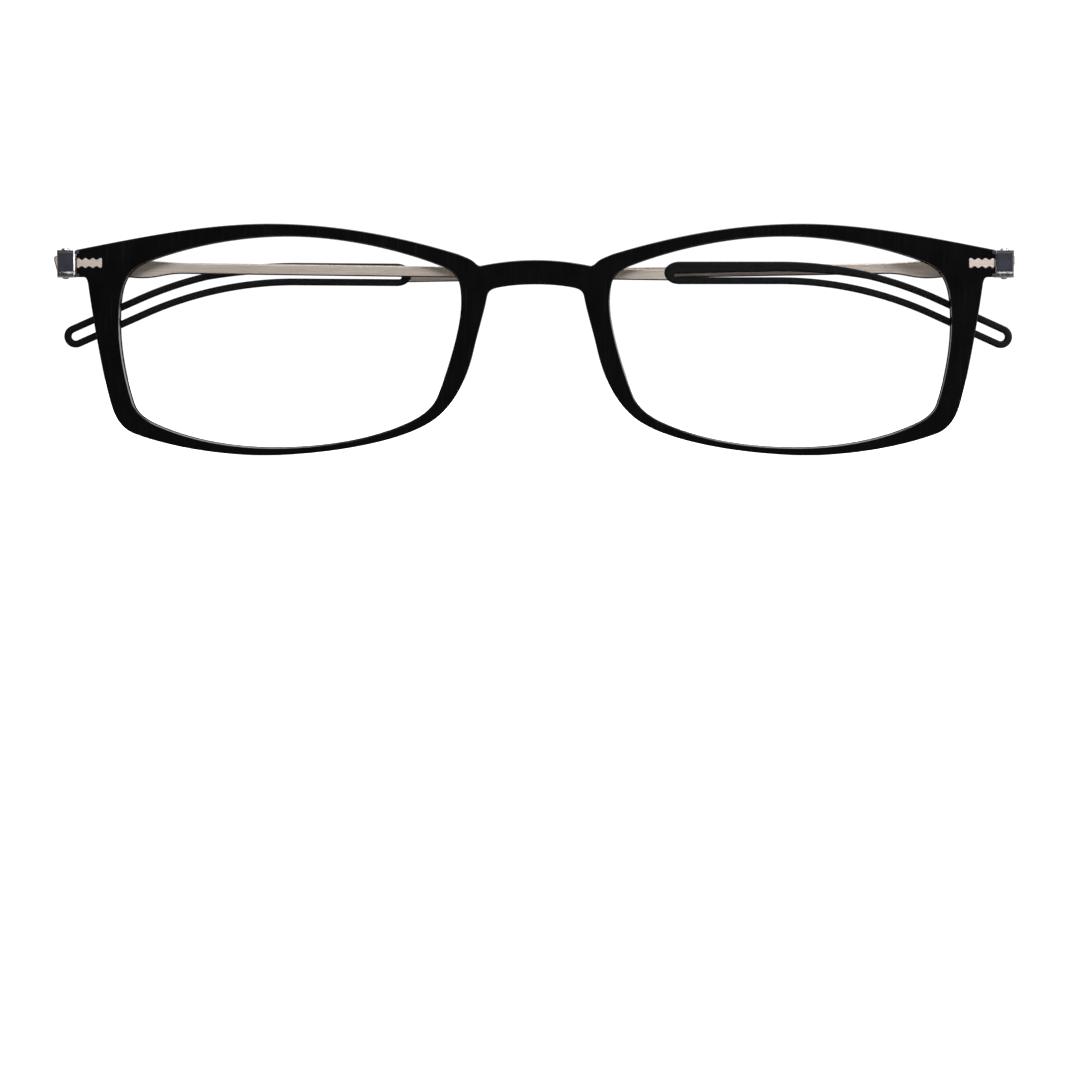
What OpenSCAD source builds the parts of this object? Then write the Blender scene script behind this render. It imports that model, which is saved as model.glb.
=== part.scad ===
// Slim folding reading glasses, shown folded flat.
// Front faces -Y, +Z is up as worn, the wearer's left is at +X.
// The right temple folds first and lies next to the front. The left one lies behind it.

/* [Front] */
// Thickness of the plastic front
front_thick = 2.2; // [2:0.1:3]
// Chamfer round the front edge of each lens opening
rim_chamfer = 0.15; // [0.1:0.05:0.4]
// Height of the moulded nose ridges behind the rims
nose_ridge = 1; // [0.5:0.1:1.4]

/* [Lenses] */
// Thickness at the middle of a lens
lens_thick = 1.9; // [1.7:0.1:2.2]
// Radius of the front surface of a lens
lens_radius = 293; // [250:1:400]
// Height of the V edge that sits in the rim's groove
bevel_depth = 0.45; // [0.3:0.05:0.5]
// Gap between a lens and its rim
lens_gap = 0.03; // [0.02:0.01:0.06]

/* [Hinges] */
// Distance of each hinge screw from the middle of the front
pin_x = 68.3; // [68:0.1:68.6]
// Distance of the first hinge screw behind the middle of the front's thickness
pin_y = 0.35; // [0.3:0.05:0.5]
// Radius of the hinge screw
pin_r = 0.4; // [0.3:0.05:0.5]
// Radial play of the screw in its bores
bore_gap = 0.03; // [0.02:0.01:0.06]
// Radius of the hinge barrel and of the ears' round ends
barrel_r = 0.95; // [0.85:0.05:1]
// Height of the hinge block over both ears
block_high = 3.95; // [3.6:0.05:4.2]
// Thickness of each ear
ear_thick = 0.55; // [0.4:0.05:0.65]
// Thickness of the washers between the ears and the barrel
washer_thick = 0.15; // [0.1:0.01:0.2]

/* [Temples] */
// Thickness of the flat steel strips
strip_thick = 0.8; // [0.6:0.05:1]
// Height of the strip between the paddle and the tip
strip_high = 1.6; // [1.4:0.05:1.6]
// Drop of the strip for each millimetre of its length
strip_fall = 0.0135; // [0:0.0005:0.015]
// Distance from the second folded temple to the first
fold_step = 1.45; // [1.4:0.05:2]
// How much lower the left strip meets its tip than the right one
left_droop = 0.27; // [0:0.01:0.4]
// How much further from its hinge the right tip sits, and how much nearer the left one
tip_slide = 0.3; // [0:0.05:0.5]

/* [Tips] */
// Thickness of the rubber loops
tip_thick = 1.2; // [1:0.05:1.3]
// Height over both bands of a loop
loop_high = 3.3; // [3:0.05:3.5]
// Height of the slot in a loop
slot_high = 1.25; // [1:0.05:1.4]
// Radius of the bend over the ear
bend_radius = 55; // [50:1:70]
// Angle of the bend over the ear
bend_angle = 24.4; // [18:0.1:30]
// Width and thickness of the spring wire inside a loop
core_size = 0.45; // [0.3:0.05:0.5]

/* [Hidden] */
$fn = 96;
thin = 0.02;
play = 0.02;
bend_step = 6;

// Depth of the folded stack, used to centre it on Y
face_y = -1.4;
strip_off = 1.4;
back_y = pin_y + fold_step + strip_off + strip_thick / 2 + tip_thick / 2;
mid_y = (face_y + back_y) / 2;

// Lens seat
lens_back_y = 0.75;
lens_mid_x = 35.6;
lens_mid_z = 16.5;
bevel_y = 0.38;
bevel_half = 0.27;

// Hinge block
block_z = 25.8;
block_in = 66.65;
block_out = 69.3;
block_front_y = -1.3;
stop_gap = 1.15;
ear_top_z = block_z + block_high - ear_thick;
plate_low = [66.95, 26.65];
plate_high = [69.15, 29.45];
plate_seat_y = -1.1;
tongue_z = 27.88;
tongue_y = -1.12;
tongue_thick = 0.5;
tooth_pitch = 1.07;
tooth_start = 66.3;

// Temple strip, measured along u from its hinge screw
strip_end = 88;
strip_from = 17;
strip_from_z = 27.15;
butt_out = 1.9;
leaf_out = 1.08;

// Rubber loop, measured along u from its hinge screw
loop_z = 26.5;
nose_u = 86.75;
full_u = 88.8;
slot_u = 88.5;
bend_u = 103.5;
tail_long = 10.65;
droop_pivot = [127, 21];
band_mid = (loop_high + slot_high) / 4;
core_start = 0.08;

// The slot is narrower where the upper band is thicker, from its start to part way round the bend
slot_start_high = 0.5;
slot_bend_high = 0.83;
slot_full_turn = 13.6;

// Straight steps that stand for the bend and for each round end
bend_parts = 20;
end_parts = 20;

// Left half of the front's outline from the top middle to the bottom middle of the bridge.
// Each row is a knot and, for a curve, the two handles towards the next knot.
front_knots = [
    [[0, 28.35], [3, 28.35], [5.5, 28]],
    [[8.05, 27.5], [8.6, 27.55], [8.8, 28.1]],
    [[9.3, 28.35], [9.9, 28.7], [10.5, 28.9]],
    [[11.2, 29.2], [19, 31.6], [28.5, 33.6]],
    [[38.5, 33.6], [47.5, 33.6], [57, 31.7]],
    [[66.6, 29.8]],
    [[66.6, 25.85]],
    [[65.5, 25.85], [65.1, 25.85], [65, 25.4]],
    [[64.9, 24.9], [64.4, 21], [63.1, 12.8]],
    [[62, 8.6], [61.4, 6], [60.6, 4.1]],
    [[58.4, 3.15], [54, 1.5], [47, 0]],
    [[39.5, 0], [31, 0], [20.6, 1.7]],
    [[15.8, 4.5], [12.9, 6.1], [10.3, 9.4]],
    [[8.9, 15.6], [8.3, 18.2], [7.4, 21]],
    [[7.05, 23], [6.9, 23.8], [6.5, 24.1]],
    [[5.6, 24.3], [3.9, 24.65], [2, 24.8]],
    [[0, 24.8]]
];

// Left lens opening, clockwise from its highest point
opening_knots = [
    [[36, 31.8], [43.5, 31.8], [50.5, 30.2]],
    [[55.5, 28.4], [59.2, 27.2], [60.4, 25.4]],
    [[60.4, 19], [60.4, 15.2], [59.6, 10.9]],
    [[58.5, 7.5], [57.9, 5.7], [56.2, 4.8]],
    [[54, 3.95], [50.5, 2.5], [45, 1.1]],
    [[38, 1.1], [31.5, 1.1], [25.5, 2]],
    [[20.4, 3.9], [17.9, 4.9], [15.3, 6]],
    [[14.2, 8.6], [13.2, 11], [11.4, 16.4]],
    [[10.9, 20.2], [10.7, 21.8], [10.7, 23.6]],
    [[11, 24.9], [11.3, 26.1], [12.2, 26.9]],
    [[13.7, 27.5], [19.5, 29.8], [28, 31.8]]
];

// Outline of the temple strip near the hinge, from the butt end round to the underside
strip_knots = [
    [[-butt_out, 28.4]],
    [[-butt_out, 28.7], [-butt_out, 28.9], [-1.5, 29]],
    [[-1.3, 29]],
    [[1.5, 29], [7, 28.9], [12, 28.2]],
    [[strip_from, strip_from_z + strip_high / 2]]
];
strip_under = [
    [[strip_from, strip_from_z - strip_high / 2], [14.5, 26.4], [13.5, 25.75]],
    [[11, 25.7], [9, 25.7], [7, 26.2]],
    [[3, 26.3]],
    [[-1.35, 26.3]]
];

// Points of one Bezier curve, without its last point
function curve(p, a, b, q) =
    let (n = curve_steps(a - p, q - b, norm(q - p)))
    [for (i = [0 : n - 1]) let (t = i / n, s = 1 - t)
        s * s * s * p + 3 * s * s * t * a + 3 * s * t * t * b + t * t * t * q];

// Number of straight steps for a curve that starts along a and ends along b
function curve_steps(a, b, chord) =
    let (turn = acos(min(1, a * b / (norm(a) * norm(b)))))
    max(2, ceil(turn / bend_step), ceil(chord / 4));

// Points from a list of knots. The last knot ends it, unless the list is closed.
function trace(knots, closed = false) =
    let (last = len(knots) - 1)
    [for (i = [0 : last])
        let (k = knots[i], next = knots[i == last ? 0 : i + 1][0])
        each (len(k) == 3 && (closed || i < last) ? curve(k[0], k[1], k[2], next) : [k[0]])];

// A clockwise outline moved outwards by d
function grow(points, d) =
    let (n = len(points))
    [for (i = [0 : n - 1])
        let (
            here = points[i],
            u = unit(here - points[(i + n - 1) % n]),
            v = unit(points[(i + 1) % n] - here),
            a = [-u.y, u.x],
            b = [-v.y, v.x]
        )
        here + d * (a + b) / (1 + a * b)];

function unit(v) = v / norm(v);

// The front's outline, both halves
function front_outline() =
    let (half = trace(front_knots), n = len(half))
    concat(half, [for (i = [n - 2 : -1 : 1]) [-half[i].x, half[i].y]]);

// The toothed outline of the hinge tongue, clockwise from its outer top corner
function tongue_outline() =
    let (
        top = [for (k = [0 : 6]) [tooth_start - k * tooth_pitch / 2, k % 2 == 0 ? 0.75 : 0.45]],
        ends = [[66.47, 0.62], [62.84, 0.62]]
    )
    concat(
        [for (i = [6 : -1 : 0]) top[i]],
        [ends[0], [ends[0].x, -ends[0].y]],
        [for (p = top) [p.x, -p.y]],
        [[ends[1].x, -ends[1].y], ends[1]]
    );

// A flat outline in X and Z, solid from y0 to y1
module slab(y0, y1) {
    translate([0, y1, 0])
        rotate([90, 0, 0])
            linear_extrude(y1 - y0)
                children();
}

// A box from its low corner to its high corner
module box(low, high) {
    translate(low)
        cube(high - low);
}

// Everything is drawn about the middle of the front's thickness and moved here
module placed() {
    translate([0, -mid_y, 0])
        children();
}

// The wearer's right side is the mirror of the left
module right_side() {
    mirror([1, 0, 0])
        children();
}

// ---- Front ----

module front_frame() {
    color("#17151a")
        placed()
            difference() {
                union() {
                    slab(-front_thick / 2, front_thick / 2)
                        polygon(front_outline());
                    nose_ridges();
                }
                for (side = [0, 1])
                    mirror([side, 0, 0]) {
                        lens_seat();
                        tongue_seat();
                    }
            }
}

// Low arched ridges that follow the rims beside the nose
module nose_ridges() {
    half_long = 8;
    arch = (half_long * half_long + nose_ridge * nose_ridge) / (2 * nose_ridge);
    top_y = front_thick / 2 + nose_ridge;
    intersection() {
        slab(0, top_y)
            polygon(front_outline());
        translate([-17, top_y - arch, 13])
            rotate([0, 90, 0])
                cylinder(r = arch, h = 34);
    }
}

// The hole for a lens, its front chamfer and its V groove
module lens_seat() {
    edge = trace(opening_knots, true);
    front_y = -front_thick / 2;
    slab(-3, 4)
        polygon(edge);
    hull() {
        slab(front_y - thin, front_y)
            polygon(grow(edge, rim_chamfer));
        slab(front_y + rim_chamfer, front_y + rim_chamfer + thin)
            polygon(edge);
    }
    v_edge(edge);
}

// A V-shaped rib that stands out round an outline
module v_edge(edge) {
    hull() {
        slab(bevel_y - bevel_half, bevel_y + bevel_half)
            polygon(edge);
        slab(bevel_y - thin / 2, bevel_y + thin / 2)
            polygon(grow(edge, bevel_depth));
    }
}

// The pocket for the hinge tongue in the face of the front
module tongue_seat() {
    seat_y = tongue_y + tongue_thick + play;
    translate([0, 0, tongue_z]) {
        slab(-2, seat_y)
            polygon(grow(tongue_outline(), play));
        box([65.75, -0.97, -0.45 - play], [68, seat_y, 0.45 + play]);
    }
}

// ---- Lenses ----

module lens() {
    edge = grow(trace(opening_knots, true), -lens_gap);
    color([0.86, 0.92, 0.95, 0.35])
        placed()
            intersection() {
                union() {
                    slab(lens_back_y - lens_thick, lens_back_y)
                        polygon(edge);
                    v_edge(edge);
                }
                lens_cap();
            }
}

// A flat-backed cap with the curve of the lens's front
module lens_cap() {
    translate([lens_mid_x, lens_back_y, lens_mid_z])
        rotate([90, 0, 0])
            rotate_extrude($fn = 180)
                intersection() {
                    translate([0, lens_thick - lens_radius])
                        circle(r = lens_radius, $fn = 1440);
                    translate([0, -1])
                        square([31, lens_thick + 2]);
                }
}

module right_lens() {
    right_side()
        lens();
}

module left_lens() {
    lens();
}

// ---- Hinges, drawn on the left for a screw at depth y ----

module bracket(y) {
    color("#c9c6c2")
        placed()
            difference() {
                union() {
                    box([block_in, block_front_y, block_z], [block_out, y - stop_gap, block_z + block_high]);
                    for (z = [block_z, ear_top_z])
                        ear(y, z);
                    for (z = [block_z + 0.05, ear_top_z])
                        box([66.15, block_front_y, z], [block_in + 0.1, -1.12, z + 0.5]);
                    tongue();
                }
                box(
                    [plate_low.x - play, block_front_y - 1, plate_low.y - play],
                    [plate_high.x + play, plate_seat_y, plate_high.y + play]
                );
                translate([pin_x, y, block_z - 1])
                    cylinder(r = pin_r + bore_gap, h = block_high + 2);
            }
}

// One ear of the bracket, with a round end about the screw
module ear(y, z) {
    box([pin_x - barrel_r, y - stop_gap - 0.2, z], [pin_x + barrel_r, y, z + ear_thick]);
    translate([pin_x, y, z])
        cylinder(r = barrel_r, h = ear_thick);
}

// The toothed tongue moulded into the front, and its neck to the block
module tongue() {
    translate([0, 0, tongue_z]) {
        slab(tongue_y, tongue_y + tongue_thick)
            polygon(tongue_outline());
        box([66.35, -0.95, -0.45], [block_in + 0.1, tongue_y + tongue_thick, 0.45]);
    }
}

module right_hinge_bracket() {
    right_side()
        bracket(pin_y);
}

module left_hinge_bracket() {
    bracket(pin_y + fold_step);
}

// The dark square plate on the face of a block
module hinge_plate() {
    color("#3a3d46")
        placed()
            box([plate_low.x, face_y, plate_low.y], [plate_high.x, plate_seat_y, plate_high.y]);
}

module right_hinge_plate() {
    right_side()
        hinge_plate();
}

module left_hinge_plate() {
    hinge_plate();
}

// A screw with a slotted round head, clenched over below
module screw(y) {
    color("#b8b5b0")
        placed()
            translate([pin_x, y, block_z]) {
                cylinder(r = pin_r, h = block_high);
                translate([0, 0, block_high])
                    difference() {
                        dome(0.65, 0.38);
                        box([-1, -0.1, 0.22], [1, 0.1, 1]);
                    }
                mirror([0, 0, 1])
                    dome(0.5, 0.25);
            }
}

// A round cap of radius r and height h
module dome(r, h) {
    ball = (r * r + h * h) / (2 * h);
    intersection() {
        cylinder(r = r, h = h);
        translate([0, 0, h - ball])
            sphere(r = ball);
    }
}

module right_hinge_screw() {
    right_side()
        screw(pin_y);
}

module left_hinge_screw() {
    screw(pin_y + fold_step);
}

module washer(y, z) {
    color("#d8c79a")
        placed()
            translate([pin_x, y, z])
                difference() {
                    cylinder(r = 0.85, h = washer_thick);
                    translate([0, 0, -1])
                        cylinder(r = pin_r + bore_gap, h = 2);
                }
}

module upper_washer(y) {
    washer(y, ear_top_z - play - washer_thick);
}

module lower_washer(y) {
    washer(y, block_z + ear_thick + play);
}

module right_upper_washer() {
    right_side()
        upper_washer(pin_y);
}

module right_lower_washer() {
    right_side()
        lower_washer(pin_y);
}

module left_upper_washer() {
    upper_washer(pin_y + fold_step);
}

module left_lower_washer() {
    lower_washer(pin_y + fold_step);
}

// The barrel on the screw, with a leaf back to the strip. The leaf's outer end is the stop.
module knuckle(y) {
    low = block_z + ear_thick + washer_thick + 2 * play;
    high = ear_top_z - washer_thick - 2 * play;
    color("#c2bdb6")
        placed()
            translate([pin_x, y, 0])
                difference() {
                    union() {
                        translate([0, 0, low])
                            cylinder(r = barrel_r, h = high - low);
                        box([-barrel_r, 0, low], [leaf_out, strip_off, high]);
                    }
                    translate([0, 0, low - 1])
                        cylinder(r = pin_r + bore_gap, h = high - low + 2);
                }
}

module right_knuckle() {
    right_side()
        knuckle(pin_y);
}

module left_knuckle() {
    knuckle(pin_y + fold_step);
}

// ---- Temples, drawn along u from the screw, then turned to run inwards ----

// Moves a shape drawn in u (x) and height (y), centred on z, to the left temple's place
module along_temple(y) {
    placed()
        translate([pin_x, y + strip_off + strip_thick / 2, 0])
            mirror([1, 0, 0])
                rotate([90, 0, 0])
                    children();
}

// A flat outline in u and height, solid to half its thickness on both sides
module sheet(thick) {
    translate([0, 0, -thick / 2])
        linear_extrude(thick)
            children();
}

// Height of the strip's centre line at u
function strip_z(u, droop) =
    strip_from_z - (strip_fall + droop / (strip_end - strip_from)) * (u - strip_from);

module temple_strip(y, droop, slide) {
    end_u = strip_end + slide;
    end_z = strip_z(end_u, droop);
    color("#b9aaa0")
        along_temple(y)
            sheet(strip_thick)
                polygon(concat(
                    trace(strip_knots),
                    [[end_u, end_z + strip_high / 2], [end_u, end_z - strip_high / 2]],
                    trace(strip_under)
                ));
}

module right_temple_strip() {
    right_side()
        temple_strip(pin_y, 0, tip_slide);
}

module left_temple_strip() {
    temple_strip(pin_y + fold_step, left_droop, -tip_slide);
}

// ---- Tips, a straight run, a bend and a straight tail with a round end ----

// A point on the bend, r from its centre, after the given turn
function bend_point(r, turn) =
    [bend_u + r * sin(turn), loop_z - bend_radius + r * cos(turn)];

// A line beside the centre line, d above it, from the bend's start to the tail's end
function band_side(d) =
    let (bend = [for (i = [0 : bend_parts]) bend_point(bend_radius + d, bend_angle * i / bend_parts)])
    concat(bend, [bend[bend_parts] + tail_long * [cos(bend_angle), -sin(bend_angle)]]);

// The half circle of radius r round the tail's end, from the upper side to the lower one
function band_end(r) =
    let (middle = bend_point(bend_radius, bend_angle) + tail_long * [cos(bend_angle), -sin(bend_angle)])
    [for (i = [1 : end_parts - 1])
        let (turn = 90 - bend_angle - 180 * i / end_parts)
        middle + r * [cos(turn), sin(turn)]];

function reversed(points) = [for (i = [len(points) - 1 : -1 : 0]) points[i]];

// Outline of a band of one width from start to the round end, clockwise
function band(wide, start) =
    let (r = wide / 2)
    concat(
        [[start, loop_z + r]],
        band_side(r),
        band_end(r),
        reversed(band_side(-r)),
        [[start, loop_z - r]]
    );

// Outline of a loop with its rounded nose
function loop_outline() =
    let (r = loop_high / 2)
    concat(
        trace([[[nose_u, 26.6], [nose_u, 27.15], [87.5, 28.1]], [[full_u, loop_z + r]]]),
        band_side(r),
        band_end(r),
        reversed(band_side(-r)),
        trace([[[full_u, loop_z - r], [87.5, 24.9], [nose_u, 25.85]], [[nose_u, 26.4]]])
    );

// How far the slot's upper edge is above the centre line after a turn of the bend
function slot_top(turn) =
    let (rise = (slot_high - slot_bend_high) * pow(turn / slot_full_turn, 2))
    min(slot_high / 2, slot_bend_high - slot_high / 2 + rise);

// Outline of the slot, with a round start and a round end
function slot_outline() =
    let (
        low = loop_z - slot_high / 2,
        r = slot_start_high / 2,
        bend = [for (i = [0 : bend_parts])
            let (turn = bend_angle * i / bend_parts)
            bend_point(bend_radius + slot_top(turn), turn)]
    )
    concat(
        [for (i = [0 : end_parts])
            let (turn = -90 - 180 * i / end_parts)
            [slot_u, low + r] + r * [cos(turn), sin(turn)]],
        bend,
        [bend[bend_parts] + tail_long * [cos(bend_angle), -sin(bend_angle)]],
        band_end(slot_high / 2),
        reversed(band_side(-slot_high / 2))
    );

// Outline of the spring wire hairpin. A positive slack gives the cavity for it.
function core_outline(slack) =
    let (start = strip_end + core_start - slack)
    concat(
        band(2 * band_mid + core_size + 2 * slack, start),
        reversed(band(2 * band_mid - core_size - 2 * slack, start))
    );

// Slides a loop along its strip and turns it about its tail so that its nose meets the strip
module fitted(droop, slide) {
    translate([droop_pivot.x + slide, droop_pivot.y])
        rotate([0, 0, atan(droop / (droop_pivot.x - full_u))])
            translate(-droop_pivot)
                children();
}

// The open end of a tip, where the strip is pushed in
module strip_pocket(droop, slide) {
    high = strip_high + 4 * play;
    thick = strip_thick + 2 * play;
    mouth_u = nose_u - 1 + slide;
    end_u = strip_end + slide;
    translate([mouth_u, strip_z(end_u, droop) - high / 2, -thick / 2])
        cube([end_u + core_start - mouth_u, high, thick]);
}

module temple_tip(y, droop, slide) {
    color("#1a1a1c")
        along_temple(y)
            difference() {
                fitted(droop, slide)
                    difference() {
                        sheet(tip_thick)
                            polygon(loop_outline());
                        sheet(2 * tip_thick)
                            polygon(slot_outline());
                        sheet(core_size + 2 * play)
                            polygon(core_outline(play));
                    }
                strip_pocket(droop, slide);
            }
}

module right_temple_tip() {
    right_side()
        temple_tip(pin_y, 0, tip_slide);
}

module left_temple_tip() {
    temple_tip(pin_y + fold_step, left_droop, -tip_slide);
}

module tip_core(y, droop, slide) {
    color("#8f8f94")
        along_temple(y)
            fitted(droop, slide)
                sheet(core_size)
                    polygon(core_outline(0));
}

module right_tip_core() {
    right_side()
        tip_core(pin_y, 0, tip_slide);
}

module left_tip_core() {
    tip_core(pin_y + fold_step, left_droop, -tip_slide);
}

front_frame();
right_lens();
left_lens();
right_hinge_bracket();
left_hinge_bracket();
right_hinge_plate();
left_hinge_plate();
right_hinge_screw();
left_hinge_screw();
right_upper_washer();
right_lower_washer();
left_upper_washer();
left_lower_washer();
right_knuckle();
left_knuckle();
right_temple_strip();
left_temple_strip();
right_temple_tip();
left_temple_tip();
right_tip_core();
left_tip_core();
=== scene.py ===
"""Looks of the folding reading glasses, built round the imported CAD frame.

Shapes are drawn in millimetres, in the frame's own axes, and scaled to metres when they are finished.
"""

import math

import bmesh
import bpy
import numpy as np
from mathutils import Matrix, Vector
from mathutils.geometry import delaunay_2d_cdt


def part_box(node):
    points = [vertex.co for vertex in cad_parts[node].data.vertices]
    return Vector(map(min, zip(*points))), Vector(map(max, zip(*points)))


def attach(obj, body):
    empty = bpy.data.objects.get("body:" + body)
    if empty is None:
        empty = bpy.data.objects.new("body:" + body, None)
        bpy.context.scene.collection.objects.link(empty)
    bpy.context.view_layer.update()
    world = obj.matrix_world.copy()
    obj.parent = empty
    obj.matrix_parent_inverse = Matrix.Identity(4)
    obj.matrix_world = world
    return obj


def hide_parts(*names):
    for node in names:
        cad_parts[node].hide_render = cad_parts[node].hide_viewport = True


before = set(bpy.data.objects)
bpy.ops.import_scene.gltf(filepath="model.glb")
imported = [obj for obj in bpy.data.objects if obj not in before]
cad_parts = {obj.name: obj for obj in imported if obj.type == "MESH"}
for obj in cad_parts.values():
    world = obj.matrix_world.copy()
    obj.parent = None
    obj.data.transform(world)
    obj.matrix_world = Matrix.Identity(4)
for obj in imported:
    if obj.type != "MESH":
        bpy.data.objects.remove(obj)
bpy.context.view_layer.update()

MM = 0.001
SIDES = {"right": -1, "left": 1}


def node_box(node):
    """Lowest and highest corner of a CAD node in millimetres."""
    low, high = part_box(node)
    return low / MM, high / MM


# ---- Outlines, in X and Z, of the wearer's left half ----

# Each row is a knot and, for a curve, the two handles towards the next knot.
FRONT_KNOTS = [
    [(0, 28.35), (3, 28.35), (5.5, 28)],
    [(8.05, 27.5), (8.6, 27.55), (8.8, 28.1)],
    [(9.3, 28.35), (9.9, 28.7), (10.5, 28.9)],
    [(11.2, 29.2), (19, 31.6), (28.5, 33.6)],
    [(38.5, 33.6), (47.5, 33.6), (57, 31.7)],
    [(66.6, 29.8)],
    [(66.6, 25.85)],
    [(65.5, 25.85), (65.1, 25.85), (65, 25.4)],
    [(64.9, 24.9), (64.4, 21), (63.1, 12.8)],
    [(62, 8.6), (61.4, 6), (60.6, 4.1)],
    [(58.4, 3.15), (54, 1.5), (47, 0)],
    [(39.5, 0), (31, 0), (20.6, 1.7)],
    [(15.8, 4.5), (12.9, 6.1), (10.3, 9.4)],
    [(8.9, 15.6), (8.3, 18.2), (7.4, 21)],
    [(7.05, 23), (6.9, 23.8), (6.5, 24.1)],
    [(5.6, 24.3), (3.9, 24.65), (2, 24.8)],
    [(0, 24.8)],
]
OPENING_KNOTS = [
    [(36, 31.8), (43.5, 31.8), (50.5, 30.2)],
    [(55.5, 28.4), (59.2, 27.2), (60.4, 25.4)],
    [(60.4, 19), (60.4, 15.2), (59.6, 10.9)],
    [(58.5, 7.5), (57.9, 5.7), (56.2, 4.8)],
    [(54, 3.95), (50.5, 2.5), (45, 1.1)],
    [(38, 1.1), (31.5, 1.1), (25.5, 2)],
    [(20.4, 3.9), (17.9, 4.9), (15.3, 6)],
    [(14.2, 8.6), (13.2, 11), (11.4, 16.4)],
    [(10.9, 20.2), (10.7, 21.8), (10.7, 23.6)],
    [(11, 24.9), (11.3, 26.1), (12.2, 26.9)],
    [(13.7, 27.5), (19.5, 29.8), (28, 31.8)],
]
FRONT_THICK = 2.2

# The nose ridge behind the rim: its reach to each side, where it fades out, and its span in Z
RIDGE_REACH = 17
RIDGE_FADE = 4
RIDGE_Z = 13
RIDGE_HALF = 8

# The lens. Its bevel is counted from its own back face, and the rim's groove from the rim's back.
LENS_MIDDLE = (35.6, 16.5)
LENS_RADIUS = 293
LENS_GAP = 0.03
BEVEL_BACK = 0.37
BEVEL_DEPTH = 0.44
GROOVE_BACK = 0.52
GROOVE_DEPTH = 0.45
GROOVE_HALF = 0.27

# The steel strip beside the hinge, with u counted from the hinge screw towards the tip
STRIP_TOP = [
    [(-1.9, 28.4)],
    [(-1.9, 28.7), (-1.9, 28.9), (-1.5, 29)],
    [(-1.3, 29)],
    [(1.5, 29), (7, 28.9), (12, 28.2)],
    [(17, 27.95)],
]
STRIP_UNDER = [
    [(17, 26.35), (14.5, 26.4), (13.5, 25.75)],
    [(11, 25.7), (9, 25.7), (7, 26.2)],
    [(3, 26.3)],
    [(-1.35, 26.3)],
]
STRIP_END = 88
STRIP_HALF = 0.8
STRIP_MIDDLE = (17, 27.15)
STRIP_FALL = 0.0135

# The rubber loop
LOOP_Z = 26.5
LOOP_HALF = 1.65
SLOT_HALF = 0.625
NOSE_U = 86.75
FULL_U = 88.8
SLOT_U = 88.5
BEND_U = 103.5
BEND_RADIUS = 55
BEND_ANGLE = math.radians(24.4)
TAIL = 10.65
SLOT_START_HALF = 0.25
SLOT_BEND_TOP = 0.205
SLOT_FULL_TURN = math.radians(13.6)
DROOP = {"right": 0, "left": 0.27}
DROOP_PIVOT = (127, 21)
SLIDE = {"right": 0.3, "left": -0.3}

# The hinge
PIN_X = 68.3
PIN_Y = {"right": -1.05, "left": 0.4}
PIN_R = 0.4
BORE_R = 0.43
BARREL_R = 0.95
BLOCK_X = (66.65, 69.3)
BLOCK_Z = (25.8, 29.75)
BLOCK_FRONT = -2.7
STOP_GAP = 1.15
LEAF_OUT = 1.08
EAR = 0.55
CREASE_Z = (26.36, 26.62, 26.74)
CREASE_DEPTH = 0.065

# The claws and the wavy tongue that hold the block to the front
CLAW = 0.5
LAP = 0.1
INLAY_FRONT = -2.52
POCKET_DEPTH = 0.52
PLAY = 0.02
TONGUE_Z = 27.88
TONGUE_X = (62.84, 66.47)
TONGUE_THICK = 0.5
TOOTH_START = 66.3
TOOTH_PITCH = 1.07
TOOTH_COUNT = 3
NECK_HALF = 0.45
NECK_Y = (-2.35, -2.03)

# The spacing of points on a curve, and twice the area below which a flat triangle is left out
CURVE_STEP = 0.4
SLIVER = 1e-5


def bezier(p, a, b, q):
    """Points of one Bezier curve without its last point."""
    count = max(3, math.ceil(math.dist(p, q) / CURVE_STEP))
    p, a, b, q = map(np.array, (p, a, b, q))
    points = []
    for i in range(count):
        t = i / count
        s = 1 - t
        points.append(tuple(s**3 * p + 3 * s * s * t * a + 3 * s * t * t * b + t**3 * q))
    return points


def trace(knots, closed=False):
    """Points along a list of knots. The last knot ends it, unless it is closed."""
    points = []
    for i, knot in enumerate(knots):
        if len(knot) == 3 and (closed or i < len(knots) - 1):
            points += bezier(*knot, knots[(i + 1) % len(knots)][0])
        else:
            points.append(knot[0])
    return points


def mirrored(points):
    """The same loop on the other side of the glasses, still wound the same way."""
    return [(-x, z) for x, z in reversed(points)]


def front_outline():
    """The front's outer edge."""
    half = trace(FRONT_KNOTS)
    return half + [(-x, z) for x, z in half[-2:0:-1]]


def arc(centre, radius, start, end, count):
    """Points from one angle to another, in radians, both ends included."""
    turns = [start + (end - start) * i / count for i in range(count + 1)]
    return [(centre[0] + radius * math.cos(t), centre[1] + radius * math.sin(t)) for t in turns]


def rounded_box(low, high, radius, count=5):
    """A clockwise rectangle with round corners."""
    corners = [
        ((low[0], low[1]), (1, 1), 1.5),
        ((low[0], high[1]), (1, -1), 1.0),
        ((high[0], high[1]), (-1, -1), 0.5),
        ((high[0], low[1]), (-1, 1), 0.0),
    ]
    points = []
    for corner, inward, turn in corners:
        centre = (corner[0] + radius * inward[0], corner[1] + radius * inward[1])
        points += arc(centre, radius, turn * math.pi, (turn - 0.5) * math.pi, count)
    return points


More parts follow.
